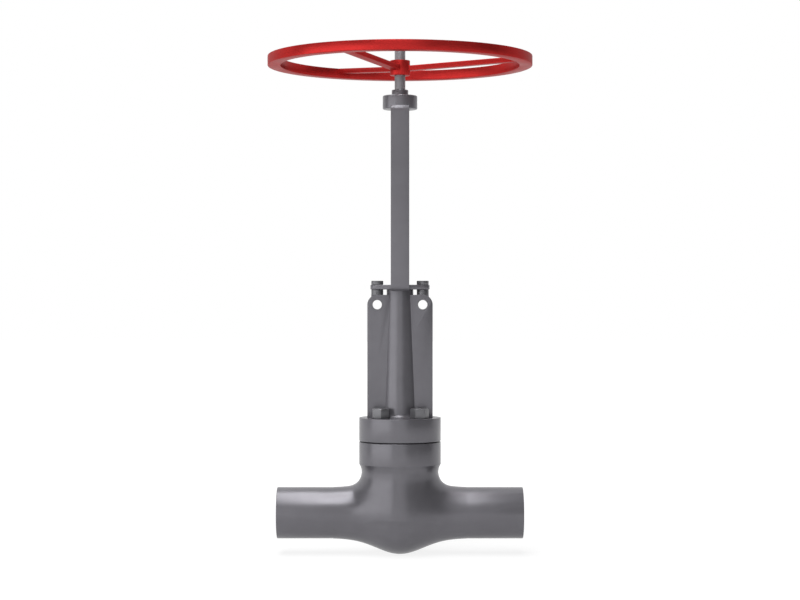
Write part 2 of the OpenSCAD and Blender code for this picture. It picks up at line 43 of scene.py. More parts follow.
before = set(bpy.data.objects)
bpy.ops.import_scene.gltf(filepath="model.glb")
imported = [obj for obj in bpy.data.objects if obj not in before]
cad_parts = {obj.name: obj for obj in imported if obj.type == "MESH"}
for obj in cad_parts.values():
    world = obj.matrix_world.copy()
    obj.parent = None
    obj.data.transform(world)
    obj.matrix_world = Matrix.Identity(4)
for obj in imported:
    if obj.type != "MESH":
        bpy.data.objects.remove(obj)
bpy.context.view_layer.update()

MM = 0.001


def edges_of(node):
    """Lowest and highest corner of a frame node, in mm."""
    low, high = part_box(node)
    return low / MM, high / MM


BODY_LOW, BODY_HIGH = edges_of("body")
BONNET_LOW, BONNET_HIGH = edges_of("bonnet")
RIB_LOW, RIB_HIGH = edges_of("right_rib")
BOLTS_LOW, BOLTS_HIGH = edges_of("bonnet_bolts")
GLAND_LOW, GLAND_HIGH = edges_of("gland_flange")
EYES_HIGH = edges_of("gland_eyebolts")[1]
NUTS_LOW, NUTS_HIGH = edges_of("gland_nuts")
PINS_LOW, PINS_HIGH = edges_of("eyebolt_pins")
ARM_HIGH = edges_of("rear_yoke_arm")[1]
HEAD_LOW, HEAD_HIGH = edges_of("yoke_head")
BUSH_LOW, BUSH_HIGH = edges_of("yoke_bushing")
STEM_LOW, STEM_HIGH = edges_of("stem")
HUB_LOW, HUB_HIGH = edges_of("handwheel_hub")
RIM_LOW, RIM_HIGH = edges_of("handwheel_rim")
SPOKE_HIGH = edges_of("handwheel_spoke_1")[1]
LOCK_LOW, LOCK_HIGH = edges_of("bushing_lock_screw")
GASKET_LOW, GASKET_HIGH = edges_of("bonnet_gasket")
PIN_Z = (PINS_LOW.z + PINS_HIGH.z) / 2

# Fits and small sizes of the pieces, which follow the CAD parts

OVER = 1.0  # how far a cutting tool stands out past what it cuts
FIT = 0.05  # gap round a piece that sits in another
SHADE_ANGLE = 34.0  # edges over this many degrees are shaded sharp

# Body: forged skin, passages, seat pocket, gasket recess and bolt holes
SKIN_STEP = 0.25  # the skin over the hubs, and the flange's cove over the neck
SKIN_TOP = 11.0  # top of the skin above the flange's underside
SKIN_HALVINGS = 22  # halvings that bring a vertex to the skin
LINE_END, PASSAGE_LAP = 108.0, 10.0  # where a line bore meets its passage, and how far the two overlap
INLET_Z, OUTLET_Z = -28.0, 36.0  # heights at which the passages leave the stem's axis
SEAT_POCKET, SEAT_TOP = 23.0, 8.0  # radius and top of the seat ring's pocket
CHAMBER = 24.0  # radius of the chamber over the seat
RECESS, RECESS_DEPTH = 30.55, 2.0
BOLT_HOLE, BOLT_DEPTH = 8.0, 27.0

# Bonnet, ribs and bolts
NOSE, STEM_WAY, BACKSEAT = 23.7, 9.0, 14.0  # radii of the nose, of its bore and of the seat of its bushing
BOX_DEPTH = 42.6  # depth of the stuffing box
SPOT_GAP, SPOT_HEIGHT = 0.7, 9.0  # the cutter of a bolt's spotface, past the head's corner and over its seat
BOLT_WAY, BOLT_SHANK = 8.75, 7.95
RIB_ROOT = 15.0  # where a rib starts, inside the neck
FORK_DEPTH, FORK_HALF = 13.0, 6.3  # reach of a fork's slot round the pin, and half its width
GASKET_WIDTH, GASKET_STEPS, GASKET_GROOVE = 5.5, 18, 0.15

# Gland
HINGE_PIN, EYE, EYE_HALF = 8.55, 12.4, 6.0  # radii of a pin and an eye, and half the eye's thickness
GLAND_END = 10.3  # radius of the gland flange's ends
STUD, STUD_WAY, NUT_BORE = 4.9, 5.4, 5.05

# Yoke and small screws
ARM_INSIDE = 18.0  # distance of an arm's inner face from the stem's axis
TONGUE, TONGUE_DEPTH = 17.0, 1.8  # how far in and how far down an arm is let into the stuffing box
BUSHING = 11.0
HEAD_BEVEL = 1.2
SCREW, SCREW_WAY, SCREW_SOCKET = 2.45, 2.5, 2.5  # two radii, and the socket's width across its flats

# Stem and key
HEAD_HEIGHT = 7.0  # height of the head in the disc
COLLAR_LOW, COLLAR_HIGH = 41.0, 47.0  # the backseat collar
THREAD_CORE, THREAD_BELOW_HEAD = 5.75, 42.7
THREAD_ROOT_HALF, THREAD_CREST_HALF = 1.55, 0.72
CENTRE, CENTRE_DRILL = 3.0, 1.2  # the centre hole in the stem's top
KEY_TURN = 60.0  # angle of key and set screw round the stem, in degrees
KEY_HALF, KEY_DEPTH, KEY_HEIGHT, KEY_LENGTH = 2.5, 3.0, 5.0, 18.0
KEY_WAY = 10.0 + FIT  # reach of the hub's key way from the stem's axis

# Handwheel
SPOKE_HALF, SPOKE_THICK, SPOKE_RISE = 7.9, 7.4, 14.0
WELD_GAP = 0.03  # gap between a spoke and the hub or the rim
SET_SCREW_DROP = 5.0  # depth of the set screw below the hub's top


# Properties


class ValveSizes(bpy.types.PropertyGroup):
    """Sizes that the frame's boxes don't give"""

    def length(label, default, text):
        """A size in mm."""
        return FloatProperty(name=label, description=text, default=default, min=0.0)

    neck: length("Body neck", 57.4, "Radius of the body's neck in mm")
    bowl: length("Bowl depth", 61.5, "Depth of the bowl below the pipe axis in mm")
    spread: length("Bowl spread", 49.0, "Distance along the pipe over which the bowl fades, in mm")
    reach: length("Bowl reach", 99.0, "Distance from the stem at which the hub starts, in mm")
    throat: length("Throat blend", 20.0, "Softness of the blend between neck and bowl in mm")
    hub: length("Hub", 38.3, "Radius of the socket hubs in mm")
    socket: length("Socket", 30.6, "Radius of the sockets in mm")
    socket_depth: length("Socket depth", 16.0, "Depth of the sockets in mm")
    line_bore: length("Line bore", 21.5, "Radius of the bore behind the sockets in mm")
    port: length("Port", 18.0, "Radius of the port and the passages in mm")
    flange_low: length("Flange underside", 73.5, "Height of the body flange's underside in mm")
    cove: length("Flange cove", 11.5, "Height of the cove under the body flange in mm")
    bolt_circle: length("Bolt circle", 40.9, "Radius of the bonnet bolts' circle in mm")
    bolt_flats: length("Bolt flats", 24.0, "Width of a bolt head across its flats in mm")
    bolt_turn: length("Bolt turn", 48.7, "Angle of a head's corner from the line to the stem, in degrees")
    stem: length("Stem", 8.0, "Radius of the stem in mm")
    box: length("Stuffing box", 20.0, "Outer radius of the stuffing box in mm")
    box_straight: length("Box height", 15.6, "Height of the stuffing box's straight part in mm")
    box_cone: length("Box cone", 4.0, "Height of the short cone below it in mm")
    neck_top: length("Neck top", 20.6, "Radius of the bonnet's neck below the short cone in mm")
    box_bore: length("Packing bore", 13.55, "Radius of the stuffing box's bore in mm")
    neck_foot: length("Neck foot", 26.0, "Radius of the bonnet's neck above its fillet in mm")
    neck_fillet: length("Neck fillet", 7.0, "Radius of the fillet at the neck's foot in mm")
    arm_round: length("Arm rounding", 8.4, "Height of the rounding at an arm's top in mm")
    pin_x: length("Gland bolts", 34.1, "Distance from the stem to the gland bolts in mm")
    pin_bore: length("Pin bore", 7.0, "Radius of the hinge pins' bore in mm")
    pitch: length("Thread pitch", 4.0, "Pitch of the stem's thread in mm")
    edge: length("Edge radius", 0.5, "Radius of the machined edges in mm")
    sides: IntProperty(name="Round sides", description="Faces round a turned piece", default=160, min=24)


class ValveFinishes(bpy.types.PropertyGroup):
    """Colours and surface textures"""

    def colour(label, default, text):
        """A colour as the screen shows it."""
        return FloatVectorProperty(name=label, description=text, subtype="COLOR", size=3,
                                   default=default, min=0.0, max=1.0)

    coat: colour("Grey coat", (0.435, 0.43, 0.45), "Colour of the coat on body, bonnet and yoke")
    hardware: colour("Fasteners", (0.435, 0.435, 0.447), "Colour of the coated bolts and nuts")
    enamel: colour("Red enamel", (0.70, 0.17, 0.165), "Colour of the handwheel")
    steel: colour("Stem steel", (0.55, 0.55, 0.565), "Colour of the ground stem")
    trim: colour("Trim steel", (0.66, 0.66, 0.67), "Colour of the turned inner parts")
    bronze: colour("Bronze", (0.66, 0.50, 0.28), "Colour of the bushings")
    graphite: colour("Graphite", (0.17, 0.17, 0.18), "Colour of packing and gasket")
    peel: FloatProperty(name="Coat texture", description="Height of the coat's fine texture in mm",
                        default=0.010, min=0.0)


class ValveStudio(bpy.types.PropertyGroup):
    """Camera, lamps and floor"""

    distance: FloatProperty(name="Camera distance", description="Distance from the stem",
                            default=2.925, min=0.5, unit="LENGTH")
    height: FloatProperty(name="Camera height", description="Height above the pipe axis",
                          default=0.3190, unit="LENGTH")
    lens: FloatProperty(name="Lens", description="Focal length in mm", default=87.75, min=10.0)
    key: FloatProperty(name="Key lamp", description="Power of the lamp at the left of the camera in W",
                       default=28.5, min=0.0)
    front: FloatProperty(name="Front lamp", description="Power of the wide lamp behind the camera in W",
                         default=18.0, min=0.0)
    top: FloatProperty(name="Top lamp", description="Power of the lamp overhead in W", default=170.0, min=0.0)
    fill: FloatProperty(name="Sky", description="Strength of the even light", default=0.02, min=0.0)


# Modelling


def only(obj):
    """Selects one object and makes it active."""
    bpy.ops.object.select_all(action="DESELECT")
    obj.select_set(True)
    bpy.context.view_layer.objects.active = obj


def edit(select="SELECT"):
    """Enters edit mode with all vertices selected or none."""
    bpy.ops.object.mode_set(mode="EDIT")
    bpy.ops.mesh.select_mode(type="VERT")
    bpy.ops.mesh.select_all(action=select)


def pick(obj, test):
    """Selects the vertices whose place passes a test, in edit mode."""
    edit("DESELECT")
    bpy.ops.object.mode_set(mode="OBJECT")
    for vertex in obj.data.vertices:
        vertex.select = test(vertex.co)
    bpy.ops.object.mode_set(mode="EDIT")


def merge(threshold=0.0005):
    """Selects everything and merges what touches, within a distance in mm."""
    bpy.ops.mesh.select_all(action="SELECT")
    bpy.ops.mesh.remove_doubles(threshold=threshold * MM)


def leave():
    """Merges what touches, turns the faces outwards and leaves edit mode."""
    merge()
    bpy.ops.mesh.normals_make_consistent(inside=False)
    bpy.ops.object.mode_set(mode="OBJECT")


def chain(name, points):
    """Starts a mesh with one vertex and extrudes it from point to point. Left in edit mode."""
    bpy.ops.object.select_all(action="DESELECT")
    bpy.ops.mesh.primitive_plane_add(size=0.01)
    obj = bpy.context.object
    obj.name = name
    obj.data.name = name
    edit()
    bpy.ops.mesh.merge(type="CENTER")
    bpy.ops.transform.translate(value=points[0])
    for before, after in zip(points, points[1:]):
        bpy.ops.mesh.extrude_region_move(TRANSFORM_OT_translate={"value": after - before})
    return obj


def turned(name, profile, sides=None, closed=False):
    """Spins a profile of (radius, height) round the Z axis."""
    points = [Vector((r, 0, z)) * MM for r, z in profile]
    obj = chain(name, points + points[:1] if closed else points)
    merge(0.0002)
    bpy.ops.mesh.spin(steps=sides or sizes().sides, angle=math.tau, center=(0, 0, 0), axis=(0, 0, 1))
    leave()
    return obj


def slab(name, outline, low, high, axis="Z"):
    """Extrudes a closed outline along an axis, from low to high."""
    place = {
        "X": lambda a, b: Vector((low, a, b)),
        "Y": lambda a, b: Vector((a, low, b)),
        "Z": lambda a, b: Vector((a, b, low)),
    }[axis]
    points = [place(a, b) * MM for a, b in outline]
    obj = chain(name, points + points[:1])
    merge()
    bpy.ops.mesh.edge_face_add()
    step = Vector([high - low if a == axis else 0 for a in "XYZ"]) * MM
    bpy.ops.mesh.extrude_region_move(TRANSFORM_OT_translate={"value": step})
    leave()
    return obj


def arc(x, y, r, start, end, steps):
    """Points of an arc, angles in degrees."""
    turns = [math.radians(start + (end - start) * i / steps) for i in range(steps + 1)]
    return [(x + r * math.cos(a), y + r * math.sin(a)) for a in turns]


def bend_over(height, drop):
    """Radius and angle of an arc that starts upright and covers a height and a drop."""
    radius = (height**2 + drop**2) / (2 * drop)
    return radius, math.degrees(math.asin(height / radius))


def hex_corner(flats):
    """Radius of a hexagon's corners."""
    return flats / 2 / math.cos(math.pi / 6)


def hexagon(flats, turn=0.0):
    """Corners of a hexagon by its width across flats, turned by an angle in degrees."""
    corner = hex_corner(flats)
    return [(corner * math.cos(a), corner * math.sin(a))
            for a in (math.radians(turn + 60 * i) for i in range(6))]


def eased(profile, steps=3):
    """Rounds the corners of a profile whose points have a radius as their third value."""
    out = []
    count = len(profile)
    for i, point in enumerate(profile):
        if len(point) < 3:
            out.append(point)
            continue
        here = Vector(point[:2])
        back = (Vector(profile[i - 1][:2]) - here).normalized()
        ahead = (Vector(profile[(i + 1) % count][:2]) - here).normalized()
        half = back.angle(ahead) / 2
        run = point[2] / math.tan(half)
        middle = here + (back + ahead).normalized() * point[2] / math.sin(half)
        first = here + back * run - middle
        turn = first.angle_signed(here + ahead * run - middle)
        for k in range(steps + 1):
            spot = middle + Matrix.Rotation(-turn * k / steps, 2) @ first
            out.append((spot.x, spot.y))
    return out


def placed(obj, angle=0.0, axis="Z", shift=(0, 0, 0)):
    """Turns a mesh round an axis through the origin, then moves it."""
    obj.data.transform(Matrix.Translation(Vector(shift) * MM) @ Matrix.Rotation(math.radians(angle), 4, axis))
    return obj


def ringed(pieces):
    """Puts four like pieces on the bolt circle, halfway between the pipe and the arms."""
    for i, piece in enumerate(pieces):
        placed(piece, shift=(sizes().bolt_circle, 0, 0))
        placed(piece, 45 + 90 * i)
    return pieces


def applied(obj, kind, **settings):
    """Adds a modifier and applies it."""
    only(obj)
    modifier = obj.modifiers.new(kind.lower(), kind)
    for key, value in settings.items():
        setattr(modifier, key, value)
    bpy.ops.object.modifier_apply(modifier=modifier.name)
    return obj


def carved(obj, *cutters, operation="DIFFERENCE"):
    """Cuts meshes out of an object, or fuses them to it, and removes them."""
    for cutter in cutters:
        applied(obj, "BOOLEAN", operation=operation, solver="EXACT", object=cutter)
        bpy.data.objects.remove(cutter)
    return obj


def fused(obj, *others):
    """Makes one solid of an object and others."""
    return carved(obj, *others, operation="UNION")


def softened(obj, width, steps=2, angle=40.0):
    """Rounds the edges that are sharper than an angle."""
    return applied(obj, "BEVEL", width=width * MM, segments=steps, limit_method="ANGLE",
                   angle_limit=math.radians(angle), use_clamp_overlap=True)


def joined(objs, name):
    """Makes one mesh of several."""
    only(objs[0])
    for obj in objs[1:]:
        obj.select_set(True)
    bpy.ops.object.join()
    objs[0].name = name
    objs[0].data.name = name
    return objs[0]


def rod(name, radius, low, high, sides=48):
    """A plain cylinder, used as a cutter."""
    return turned(name, [(0, low), (radius, low), (radius, high), (0, high)], sides)


def pipe(name, inner, outer, low, high, ease, sides):
    """A ring with eased edges."""
    profile = [(inner, low, ease), (outer, low, ease), (outer, high, ease), (inner, high, ease)]
    return turned(name, eased(profile, 2), sides, closed=True)


def box(name, low, high):
    """A block between two corners."""
    low, high = Vector(low) * MM, Vector(high) * MM
    bpy.ops.object.select_all(action="DESELECT")
    bpy.ops.mesh.primitive_cube_add(size=1)
    obj = bpy.context.object
    obj.name = name
    obj.data.name = name
    obj.data.transform(Matrix.Translation((low + high) / 2) @ Matrix.Diagonal((*(high - low), 1)))
    return obj


def copied(obj, name):
    """A copy with its own mesh."""
    twin = obj.copy()
    twin.data = obj.data.copy()
    twin.name = name
    twin.data.name = name
    bpy.context.scene.collection.objects.link(twin)
    return twin


def shown(obj, finish, slot, body, *nodes):
    """Gives a finished piece its shading, material and body."""
    only(obj)
    bpy.ops.object.shade_smooth_by_angle(angle=math.radians(SHADE_ANGLE))
    obj.data.materials.clear()
    obj.data.materials.append(finish)
    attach(obj, body)
    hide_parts(*nodes)


def sizes():
    """The sizes in the panel."""
    return bpy.context.scene.valve_sizes


def finishes():
    """The colours in the panel."""
    return bpy.context.scene.valve_finishes


# Materials


class Signal:
    """A shader socket that takes part in Python sums."""

    def __init__(self, nodes, socket):
        self.nodes = nodes
        self.socket = socket

    def combine(self, operation, first, second):
        """Adds a Math node."""
        made = self.nodes.node("ShaderNodeMath", {"operation": operation}, {0: first, 1: second})
        return Signal(self.nodes, made.outputs[0])

    def __add__(self, other):
        return self.combine("ADD", self, other)

    def __mul__(self, other):
        return self.combine("MULTIPLY", self, other)

    __radd__ = __add__
    __rmul__ = __mul__

    def larger(self, other):
        """The larger of two values."""
        return self.combine("MAXIMUM", self, other)

    def between(self, low, high):
        """0 below low, 1 above high and smooth between."""
        made = self.nodes.node("ShaderNodeMapRange", {"interpolation_type": "SMOOTHSTEP"},
                               {"Value": self, "From Min": low, "From Max": high})
        return Signal(self.nodes, made.outputs["Result"])


class Nodes:
    """Adds nodes to a material or a world."""

    def __init__(self, tree):
        self.tree = tree

    def node(self, kind, settings=None, inputs=None):
        """Adds a node of a kind, with its settings first and then the values or links of its sockets."""
        made = self.tree.nodes.new(kind)
        for key, value in (settings or {}).items():
            setattr(made, key, value)
        self.feed(made, inputs or {})
        return made

    def feed(self, node, inputs):
        """Sets or links a node's sockets."""
        for key, value in inputs.items():
            if isinstance(value, Signal):
                value = value.socket
            if isinstance(value, bpy.types.NodeSocket):
                self.tree.links.new(value, node.inputs[key])
            else:
                node.inputs[key].default_value = value


class Shader(Nodes):
    """Builds one node material."""

    MIX_LOW, MIX_HIGH, MIX_RESULT = 6, 7, 2  # the colour sockets of a Mix node

    def __init__(self, name):
        self.material = bpy.data.materials.new(name)
        self.material.use_nodes = True
        super().__init__(self.material.node_tree)
        self.surface = self.tree.nodes["Principled BSDF"]
        self.place = self.node("ShaderNodeTexCoord").outputs["Object"]

    def noise(self, scale, detail=2.0, stretch=(1, 1, 1), roughness=0.5):
        """Noise between 0 and 1, with scale in cycles for each metre."""
        place = self.node("ShaderNodeMapping", None, {"Vector": self.place, "Scale": stretch}).outputs[0]
        made = self.node("ShaderNodeTexNoise", None, {
            "Vector": place, "Scale": scale, "Detail": detail, "Roughness": roughness})
        return Signal(self, made.outputs["Fac"])

    def tone(self, colour, low, high, amount):
        """A colour that swings between two brightnesses."""
        made = self.node("ShaderNodeMix", {"data_type": "RGBA"}, {"Factor": amount})
        for key, level in ((self.MIX_LOW, low), (self.MIX_HIGH, high)):
            made.inputs[key].default_value = (*[min(1.0, c * level) for c in colour], 1)
        return made.outputs[self.MIX_RESULT]

    def bump(self, height, distance, normal=None):
        """A bump whose height is in mm."""
        inputs = {"Height": height, "Distance": distance * MM, "Strength": 1.0}
        if normal:
            inputs["Normal"] = normal
        return self.node("ShaderNodeBump", None, inputs).outputs[0]

    def paint(self, **inputs):
        """Feeds the shader's sockets, named with _ for each space, and returns the material."""
        named = {key.replace("_", " "): value for key, value in inputs.items()}
        self.feed(self.surface, named)
        return self.material


def linear(colour):
    """A screen colour as scene-linear values."""
    return [c / 12.92 if c <= 0.04045 else ((c + 0.055) / 1.055) ** 2.4 for c in colour]


def coat(name, colour, gloss=0.31, forged=0.0):
    """Sprayed metallic coat: fine peel, faint mottling, and the soft hills of a forging under it."""
    s = Shader(name)
    swing = 0.07
    cloud = s.noise(14.0, 3.0)
    peel = s.noise(950.0, 2.0, roughness=0.6)
    mottle = cloud * 0.65 + s.noise(60.0) * 0.35
    normal = s.bump(peel, finishes().peel)
    if forged:
        normal = s.bump(s.noise(75.0, 3.0), forged, normal)
    return s.paint(
        Base_Color=s.tone(linear(colour), 0.95, 1.05, mottle.between(0.3, 0.7)),
        Roughness=gloss - swing / 2 + cloud.between(0.35, 0.65) * swing,
        Normal=normal,
        Metallic=0.45,
        Specular_IOR_Level=0.3,
    )


def enamel(name, colour):
    """Metallic enamel whose gloss takes its own colour, with faint clouds and fine peel."""
    s = Shader(name)
    cloud = s.noise(18.0, 3.0)
    peel = s.noise(700.0, 2.0)
    mottle = cloud * 0.7 + s.noise(70.0) * 0.3
    return s.paint(
        Base_Color=s.tone(linear(colour), 0.94, 1.06, mottle.between(0.3, 0.7)),
        Roughness=0.30 + cloud.between(0.35, 0.65) * 0.08,
        Normal=s.bump(peel, finishes().peel),
        Metallic=0.5,
        Specular_IOR_Level=0.1,
        Specular_Tint=(*linear(colour), 1),
    )


def lathe_steel(name, colour, rough=0.36, metallic=1.0):
    """Bare metal with fine turning marks round the stem's axis."""
    s = Shader(name)
    marks = s.noise(1.0, 2.0, stretch=(25.0, 25.0, 2600.0))
    bands = s.noise(1.0, 2.0, stretch=(6.0, 6.0, 260.0))
    haze = s.noise(40.0, 3.0)
    return s.paint(
        Base_Color=s.tone(linear(colour), 0.90, 1.06, (marks * 0.5 + haze * 0.5).between(0.3, 0.7)),
        Metallic=metallic,
        Roughness=rough - 0.05 + marks * 0.12 + haze.between(0.4, 0.7) * 0.05,
        Normal=s.bump(marks * 0.7 + bands * 0.3, 0.012),
    )


def pressed_graphite(name, colour):
    """Pressed flakes, matt, with a faint sheen."""
    s = Shader(name)
    flakes = s.noise(1400.0, 3.0)
    return s.paint(
        Base_Color=s.tone(linear(colour), 0.8, 1.25, flakes.between(0.3, 0.7)),
        Roughness=0.5 + flakes * 0.2,
        Normal=s.bump(flakes, 0.03),
    )


paints = {}


def make_paints():
    """Makes every finish in the panel's colours."""
    f = finishes()
    paints.update(
        forged=coat("grey_coat_forged", f.coat, forged=0.03),
        plate=coat("grey_coat_plate", f.coat),
        hardware=coat("grey_coat_hardware", f.hardware, gloss=0.30),
        red=enamel("red_enamel", f.enamel),
        stem=lathe_steel("stem_steel", f.steel, rough=0.42, metallic=0.35),
        trim=lathe_steel("trim_steel", f.trim),
        bronze=lathe_steel("bushing_bronze", f.bronze, rough=0.4),
        graphite=pressed_graphite("graphite", f.graphite),
    )


def repaint(finish, *nodes):
    """Gives frame nodes that stay as they are a material."""
    for node in nodes:
        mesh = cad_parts[node].data
        mesh.materials.clear()
        mesh.materials.append(finish)


# Pieces


def skin_distances(points, s):
    """How far points stand outside the forged skin, negative inside."""
    x, y, z = points.T
    fade = math.exp(-((s.reach / s.spread) ** 2))
    rise = (s.bowl - s.hub - SKIN_STEP) / (1 - fade)
    bowl = np.hypot(y, z) - (s.hub + SKIN_STEP + rise * (np.exp(-((x / s.spread) ** 2)) - fade))
    neck = np.maximum(np.hypot(x, y) - s.neck, -z)
    return np.minimum(bowl, neck) - np.maximum(s.throat - np.abs(bowl - neck), 0) ** 2 / (4 * s.throat)


def forged_skin(s):
    """A sphere with its poles on the pipe axis, each vertex drawn out along its ray to the skin."""
    bpy.ops.object.select_all(action="DESELECT")
    bpy.ops.mesh.primitive_uv_sphere_add(segments=176, ring_count=130, radius=1, rotation=(0, math.pi / 2, 0))
    obj = bpy.context.object
    obj.name = "valve_body"
    bpy.ops.object.transform_apply(rotation=True)
    first = math.atan(s.hub / s.reach)  # angle from the pipe axis at which the hub starts
    pick(obj, lambda co: abs(co.x) > math.cos(first))
    bpy.ops.mesh.delete(type="VERT")
    bpy.ops.object.mode_set(mode="OBJECT")
    rays = np.array([v.co for v in obj.data.vertices])
    angles = np.arccos(np.clip(rays[:, 0], -1, 1))
    low, high = angles.min(), angles.max()
    angles = first + (math.pi - 2 * first) * (angles - low) / (high - low)
    turns = np.arctan2(rays[:, 2], rays[:, 1])
    rays = np.stack([np.cos(angles), np.sin(angles) * np.cos(turns), np.sin(angles) * np.sin(turns)], 1)
    near, far = np.full(len(rays), s.hub / 2), np.full(len(rays), 2 * s.reach)
    for _ in range(SKIN_HALVINGS):
        middle = (near + far) / 2
        inside = skin_distances(rays * middle[:, None], s) < 0
        near, far = np.where(inside, middle, near), np.where(inside, far, middle)
    cap = s.flange_low + SKIN_TOP
    far = np.where(rays[:, 2] > 0, np.minimum(far, cap / np.maximum(rays[:, 2], 1e-6)), far)
    obj.data.vertices.foreach_set("co", (rays * far[:, None] * MM).astype(np.float32).ravel())
    obj.data.update()
    return obj


def drawn_ends(obj, s):
    """Extrudes both ends of the skin into hubs, with the sockets and the line bore turned back in."""
    mouth = BODY_HIGH.x
    floor = mouth - s.socket_depth
    slack = 0.01
    for side in (1, -1):
        limit = max(side * v.co.x for v in obj.data.vertices) - slack * MM
        pick(obj, lambda co: side * co.x > limit)
        x, radius = limit / MM + slack, s.hub + SKIN_STEP
        ends = eased([
            (x, s.hub), (mouth, s.hub, 0.8), (mouth, s.socket, 0.5), (floor, s.socket, 0.4),
            (floor, s.line_bore, 0.5), (LINE_END, s.line_bore)], 3)
        for to_x, to_radius in ends:
            bpy.ops.mesh.extrude_region_move(
                TRANSFORM_OT_translate={"value": (side * (to_x - x) * MM, 0, 0)})
            bpy.ops.transform.resize(
                value=(1, to_radius / radius, to_radius / radius), center_override=(side * to_x * MM, 0, 0))
            x, radius = to_x, to_radius
        bpy.ops.mesh.edge_face_add()
        leave()


def passage(name, radius, start, side):
    """A drilled way from a height on the stem's axis down, or up, into the line bore of one side."""
    end = Vector((side * (LINE_END + PASSAGE_LAP), -start * PASSAGE_LAP / LINE_END))
    run = end - Vector((0, start))
    tool = rod(name, radius, 0, run.length, 72)
    return placed(tool, math.degrees(math.atan2(run.x, run.y)), "Y", (0, 0, start))


class VALVE_OT_body(bpy.types.Operator):
    """Forged body with its hubs, sockets, flange and passages"""

    bl_idname = "valve.body"
    bl_label = "Body"

    def execute(self, context):
        s = sizes()
        body = forged_skin(s)
        only(body)
        drawn_ends(body, s)
        radius, top = BONNET_HIGH.x, BODY_HIGH.z
        foot = s.flange_low - s.cove
        bend, sweep = bend_over(s.cove, radius - s.neck - SKIN_STEP)
        cove = arc(s.neck + SKIN_STEP + bend, foot, bend, 180, 180 - sweep, 8)
        flange = turned("flange", eased([
            (0, foot), *cove[:-1], (*cove[-1], s.edge), (radius, top, s.edge), (0, top)]))
        fused(body, flange)
        bolts = ringed([rod("bolt_hole", BOLT_HOLE, top - BOLT_DEPTH, top + OVER) for _ in range(4)])
        ledge = top - RECESS_DEPTH
        chamber = turned("chamber", eased([
            (0, INLET_Z), (s.port, INLET_Z), (s.port, 0), (SEAT_POCKET, 0), (SEAT_POCKET, SEAT_TOP),
            (CHAMBER, SEAT_TOP), (CHAMBER, ledge, 0.5), (RECESS, ledge), (RECESS, top + OVER),
            (0, top + OVER)]), 96)
        carved(body, chamber, passage("inlet", s.port, INLET_Z, -1), passage("outlet", s.port, OUTLET_Z, 1),
               joined(bolts, "bolt_holes"))
        shown(body, paints["forged"], "forged_body", "root", "body")
        return {"FINISHED"}


def neck_profile(s, grow=0.0):
    """Outer profile of the bonnet's neck, from the stuffing box down to the flange."""
    top, foot = BONNET_HIGH.z, RIB_LOW.z
    return [(s.box + grow, top), (s.box + grow, top - s.box_straight),
            (s.neck_top + grow, top - s.box_straight - s.box_cone),
            *arc(s.neck_foot + s.neck_fillet + grow, foot + s.neck_fillet, s.neck_fillet, 180, 270, 8)]


class VALVE_OT_bonnet(bpy.types.Operator):
    """Bonnet with its flange, tapered neck, stuffing box and nose"""

    bl_idname = "valve.bonnet"
    bl_label = "Bonnet"

    def execute(self, context):
        s = sizes()
        top, foot, radius = BONNET_HIGH.z, RIB_LOW.z, BONNET_HIGH.x
        low, tip, box_floor = GASKET_HIGH.z, BONNET_LOW.z, top - BOX_DEPTH
        neck = neck_profile(s)
        bonnet = turned("bonnet_forging", eased([
            (STEM_WAY, tip), (STEM_WAY, box_floor), (s.box_bore, box_floor), (s.box_bore, top, 0.5),
            (*neck[0], 0.5), *neck[1:], (radius, foot, s.edge), (radius, low, s.edge),
            (NOSE, low), (NOSE, tip, 0.6)]), closed=True)
        spot, spot_top = hex_corner(s.bolt_flats) + SPOT_GAP, foot + SPOT_HEIGHT
        spots = ringed([rod("spotface", spot, foot, spot_top, 64) for _ in range(4)])
        ways = ringed([rod("bolt_way", BOLT_WAY, low - OVER, foot + OVER) for _ in range(4)])
        seat = rod("backseat_hole", BACKSEAT, tip - OVER, edges_of("backseat_bushing")[1].z)
        carved(bonnet, joined(spots, "spotfaces"), joined(ways, "bolt_ways"), seat)
        shown(bonnet, paints["forged"], "forged_body", "root", "bonnet")
        return {"FINISHED"}


class VALVE_OT_ribs(bpy.types.Operator):
    """The two ribs with their forked lugs"""

    bl_idname = "valve.ribs"
    bl_label = "Ribs"

    def execute(self, context):
        s = sizes()
        low, out, half = RIB_LOW.z, RIB_HIGH.x, RIB_HIGH.y
        lug = out - s.pin_x
        above, skirt = BONNET_HIGH.z + OVER, 34
        slot, slot_top, beside = s.pin_x - FORK_DEPTH, PIN_Z + lug + OVER, out + 9
        for side, node in ((1, "right_rib"), (-1, "left_rib")):
            outline = [(RIB_ROOT, low), (out, low), *arc(s.pin_x, PIN_Z, lug, 0, 90, 14), (RIB_ROOT, PIN_Z + lug)]
            rib = slab(node + "_plate", [(side * x, z) for x, z in outline], -half, half, "Y")
            softened(rib, 0.45)
            first, *more = neck_profile(s, FIT)
            neck = [(0, above), (first[0], above), *more, (skirt, low - OVER), (0, low - OVER)]
            pin = placed(rod("pin_way", HINGE_PIN + FIT, -half - OVER, half + OVER, 72), 90, "X",
                         (side * s.pin_x, 0, PIN_Z))
            fork = slab("fork", [(side * x, z) for x, z in [
                *arc(s.pin_x, PIN_Z, FORK_DEPTH, 180, 270, 10), (beside, PIN_Z - FORK_DEPTH),
                (beside, slot_top), (slot, slot_top)]], -FORK_HALF, FORK_HALF, "Y")
            carved(rib, turned("neck_tool", neck), pin, fork)
            shown(rib, paints["plate"], "forged_body", "root", node)
        return {"FINISHED"}


